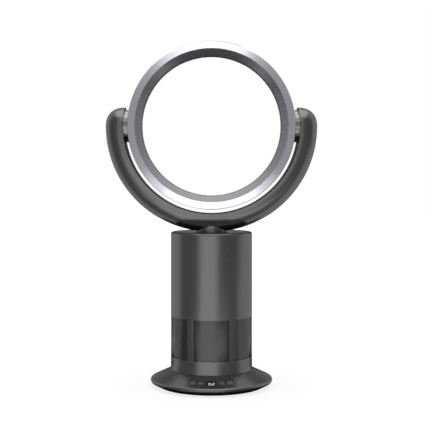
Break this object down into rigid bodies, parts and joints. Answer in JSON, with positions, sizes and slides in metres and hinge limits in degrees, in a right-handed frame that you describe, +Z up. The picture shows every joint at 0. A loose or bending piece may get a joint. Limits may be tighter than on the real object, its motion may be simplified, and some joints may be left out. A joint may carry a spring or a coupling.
{
  "type": "bladeless fan",
  "caption": "Table fan with no visible blades: an air hoop tilts in a U-shaped yoke that swings on a round body with a perforated intake and a brimmed base with keys.",
  "frame": {"origin": "centre of the footprint, on the surface the rubber feet stand on", "axes": "+Z up along the body and the swing axis; the front, with the display, faces -Y; +X is to the right seen from the front, along the tilt axis"},
  "size_m": [0.338, 0.194, 0.5466],
  "materials": {
    "gunmetal": "semi-gloss gunmetal paint on moulded plastic",
    "dark_cover": "dark satin moulded plastic",
    "panel_black": "gloss black inlay",
    "key_grey": "gloss dark key cap with a pale icon",
    "lens_black": "gloss black window over lit digits",
    "grille_dark": "dark painted perforated sheet",
    "silver": "satin silver paint on moulded plastic",
    "boss_gloss": "high-gloss dark metallic paint",
    "inner_plastic": "plain black inner moulding",
    "inner_pale": "natural pale moulding",
    "impeller_grey": "glass-filled grey moulding",
    "rubber": "matt black rubber",
    "steel": "ground steel",
    "motor_can": "zinc-plated steel can",
    "board_green": "green printed circuit board",
    "switch_black": "black switch and display bodies",
    "filter_foam": "black open-cell foam"
  },
  "bodies": {
    "base": {"base_shell": "gunmetal", "base_plate": "dark_cover", "rubber_feet": "rubber", "power_inlet": "switch_black", "main_board": "board_green", "control_panel": "panel_black", "display_lens": "lens_black", "display_module": "switch_black", "key_switches": "switch_black", "key_board": "board_green", "body_casing": "gunmetal", "intake_grille": "grille_dark", "dust_filter": "filter_foam", "top_cap": "gunmetal", "impeller_housing": "inner_plastic", "intake_bellmouth": "inner_plastic", "motor_bucket": "inner_plastic", "motor_mount": "rubber", "blower_motor": "motor_can", "bucket_lid": "inner_plastic", "air_duct": "inner_plastic", "swivel_deck": "inner_plastic", "neck_bush": "inner_pale", "swing_motor": "motor_can"},
    "blower_rotor": {"impeller": "impeller_grey", "motor_shaft": "steel"},
    "swing_drive": {"swing_pinion": "inner_pale"},
    "yoke": {"neck_tube": "gunmetal", "swing_sector": "inner_pale", "yoke_shell": "gunmetal", "yoke_cover": "gunmetal", "left_trunnion_plate": "gunmetal", "right_trunnion_plate": "gunmetal"},
    "hoop": {"hoop_shell": "silver", "hoop_inner_wall": "silver", "hoop_trim": "silver", "left_hoop_boss": "boss_gloss", "right_hoop_boss": "boss_gloss"},
    "power_key": {"power_key": "key_grey"},
    "speed_key": {"speed_key": "key_grey"},
    "swing_key": {"swing_key": "key_grey"},
    "timer_key": {"timer_key": "key_grey"}
  },
  "joints": [
    {"name": "swing", "type": "hinge", "parent": "base", "child": "yoke", "pos_m": [0, 0, 0.235], "axis": [0, 0, 1], "range_deg": [-45, 45]},
    {"name": "tilt", "type": "hinge", "parent": "yoke", "child": "hoop", "pos_m": [0, 0, 0.414], "axis": [-1, 0, 0], "range_deg": [-45, 45]},
    {"name": "blower_spin", "type": "hinge", "parent": "base", "child": "blower_rotor", "pos_m": [0, 0, 0.12], "axis": [0, 0, 1], "continuous": true},
    {"name": "pinion_spin", "type": "hinge", "parent": "base", "child": "swing_drive", "pos_m": [0, 0.0421, 0.226], "axis": [0, 0, 1], "range_deg": [-112.5, 112.5]},
    {"name": "power_key_press", "type": "slide", "parent": "base", "child": "power_key", "axis": [0.144, 0.3977, -0.9061], "range_m": [0, 0.0006], "stiffness_N_per_m": 1500, "springref_m": -0.0004},
    {"name": "speed_key_press", "type": "slide", "parent": "base", "child": "speed_key", "axis": [0.08, 0.4154, -0.9061], "range_m": [0, 0.0006], "stiffness_N_per_m": 1500, "springref_m": -0.0004},
    {"name": "swing_key_press", "type": "slide", "parent": "base", "child": "swing_key", "axis": [-0.08, 0.4154, -0.9061], "range_m": [0, 0.0006], "stiffness_N_per_m": 1500, "springref_m": -0.0004},
    {"name": "timer_key_press", "type": "slide", "parent": "base", "child": "timer_key", "axis": [-0.144, 0.3977, -0.9061], "range_m": [0, 0.0006], "stiffness_N_per_m": 1500, "springref_m": -0.0004}
  ],
  "couplings": [
    {"joint": "pinion_spin", "follows": "swing", "ratio": -2.5}
  ]
}
